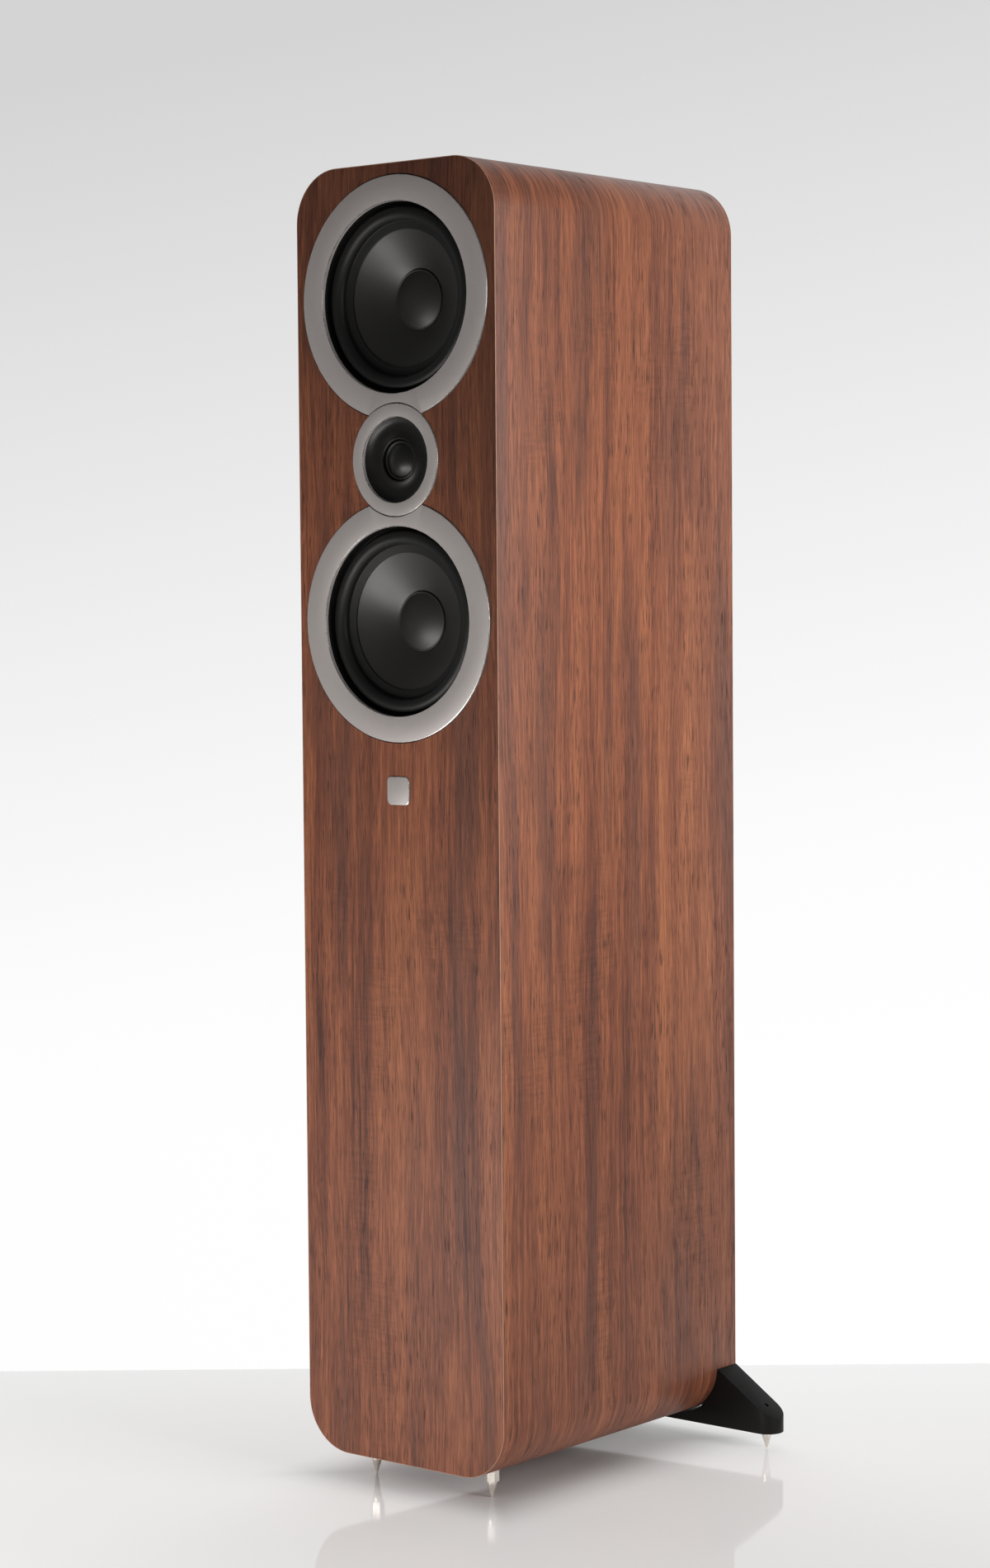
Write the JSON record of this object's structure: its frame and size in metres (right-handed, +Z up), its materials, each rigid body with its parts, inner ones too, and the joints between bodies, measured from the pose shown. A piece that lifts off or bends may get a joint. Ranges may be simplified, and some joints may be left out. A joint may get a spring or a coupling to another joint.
{
  "type": "floorstanding loudspeaker",
  "caption": "Slim floorstanding loudspeaker with rounded walnut cabinet, woofers above and below a tweeter, rear reflex port, binding posts, rear stabiliser and spikes",
  "frame": {"origin": "on the floor plane at the spike tips, under the middle of the whole object's box", "axes": "+Z up, the front baffle faces -Y, +X is on the right of someone who faces the front from behind the cabinet, that is to the right when looking along +Y"},
  "size_m": [0.308, 0.3024, 1.0265],
  "materials": {
    "walnut_foil": "satin walnut-grain foil",
    "fibreboard": "bare fibreboard",
    "rear_foil": "matt black foil",
    "satin_silver": "fine satin, bright chamfered edges",
    "black_casting": "matt black powder coat",
    "cone_paper": "coated charcoal paper",
    "black_rubber": "soft matt rubber",
    "spider_cloth": "resin-stiffened cloth",
    "plated_steel": "zinc plated",
    "ferrite": "ground ferrite",
    "copper_winding": "enamelled copper wire",
    "dome_silk": "coated silk",
    "black_plastic": "moulded, fine texture",
    "red_plastic": "clear tinted knob",
    "gold_plate": "gold plated",
    "circuit_board": "green solder mask",
    "wadding": "polyester wadding",
    "bright_steel": "bright plated"
  },
  "bodies": {
    "cabinet": {"veneer_wrap": "walnut_foil", "left_side_panel": "fibreboard", "right_side_panel": "fibreboard", "top_panel": "fibreboard", "bottom_panel": "fibreboard", "front_baffle": "walnut_foil", "rear_panel": "rear_foil", "upper_brace": "fibreboard", "lower_brace": "fibreboard", "badge": "satin_silver", "upper_woofer_trim_ring": "satin_silver", "upper_woofer_basket": "black_casting", "upper_woofer_surround": "black_rubber", "upper_woofer_spider": "spider_cloth", "upper_woofer_top_plate": "plated_steel", "upper_woofer_magnet": "ferrite", "upper_woofer_yoke": "plated_steel", "lower_woofer_trim_ring": "satin_silver", "lower_woofer_basket": "black_casting", "lower_woofer_surround": "black_rubber", "lower_woofer_spider": "spider_cloth", "lower_woofer_top_plate": "plated_steel", "lower_woofer_magnet": "ferrite", "lower_woofer_yoke": "plated_steel", "tweeter_trim_ring": "satin_silver", "tweeter_faceplate": "black_plastic", "tweeter_gasket": "black_rubber", "tweeter_magnet": "ferrite", "tweeter_yoke": "plated_steel", "tweeter_rear_cup": "black_plastic", "reflex_port": "black_plastic", "terminal_cup": "black_plastic", "red_post_stud": "gold_plate", "black_post_stud": "gold_plate", "crossover_board": "circuit_board", "bass_inductor": "copper_winding", "treble_inductor": "copper_winding", "bass_capacitor": "black_plastic", "acoustic_wadding": "wadding", "upper_woofer_lead": "black_rubber", "lower_woofer_lead": "black_rubber", "tweeter_lead": "black_rubber", "input_lead": "black_rubber", "rear_stabiliser": "black_casting"},
    "upper_cone": {"upper_woofer_cone": "cone_paper", "upper_woofer_dust_cap": "cone_paper", "upper_woofer_voice_coil": "copper_winding"},
    "lower_cone": {"lower_woofer_cone": "cone_paper", "lower_woofer_dust_cap": "cone_paper", "lower_woofer_voice_coil": "copper_winding"},
    "tweeter_diaphragm": {"tweeter_dome": "dome_silk", "tweeter_voice_coil": "copper_winding"},
    "red_knob": {"red_post_knob": "red_plastic", "red_post_washer": "gold_plate"},
    "black_knob": {"black_post_knob": "black_plastic", "black_post_washer": "gold_plate"},
    "front_left_foot": {"front_left_spike": "bright_steel"},
    "rear_left_foot": {"rear_left_spike": "bright_steel"},
    "front_right_foot": {"front_right_spike": "bright_steel"},
    "rear_right_foot": {"rear_right_spike": "bright_steel"}
  },
  "joints": [
    {"name": "upper_cone_travel", "type": "slide", "parent": "cabinet", "child": "upper_cone", "axis": [0, -1, 0], "range_m": [-0.005, 0.005], "stiffness_N_per_m": 1000, "deforming": ["upper_woofer_surround", "upper_woofer_spider"]},
    {"name": "lower_cone_travel", "type": "slide", "parent": "cabinet", "child": "lower_cone", "axis": [0, -1, 0], "range_m": [-0.005, 0.005], "stiffness_N_per_m": 1000, "deforming": ["lower_woofer_surround", "lower_woofer_spider"]},
    {"name": "tweeter_dome_travel", "type": "slide", "parent": "cabinet", "child": "tweeter_diaphragm", "axis": [0, -1, 0], "range_m": [-0.0005, 0.0005], "stiffness_N_per_m": 300},
    {"name": "red_knob_travel", "type": "slide", "parent": "cabinet", "child": "red_knob", "axis": [0, 1, 0], "range_m": [0, 0.005]},
    {"name": "black_knob_travel", "type": "slide", "parent": "cabinet", "child": "black_knob", "axis": [0, 1, 0], "range_m": [0, 0.005]},
    {"name": "front_left_spike_travel", "type": "slide", "parent": "cabinet", "child": "front_left_foot", "axis": [0, 0, -1], "range_m": [0, 0.01]},
    {"name": "rear_left_spike_travel", "type": "slide", "parent": "cabinet", "child": "rear_left_foot", "axis": [0, 0, -1], "range_m": [0, 0.006]},
    {"name": "front_right_spike_travel", "type": "slide", "parent": "cabinet", "child": "front_right_foot", "axis": [0, 0, -1], "range_m": [0, 0.01]},
    {"name": "rear_right_spike_travel", "type": "slide", "parent": "cabinet", "child": "rear_right_foot", "axis": [0, 0, -1], "range_m": [0, 0.006]}
  ]
}
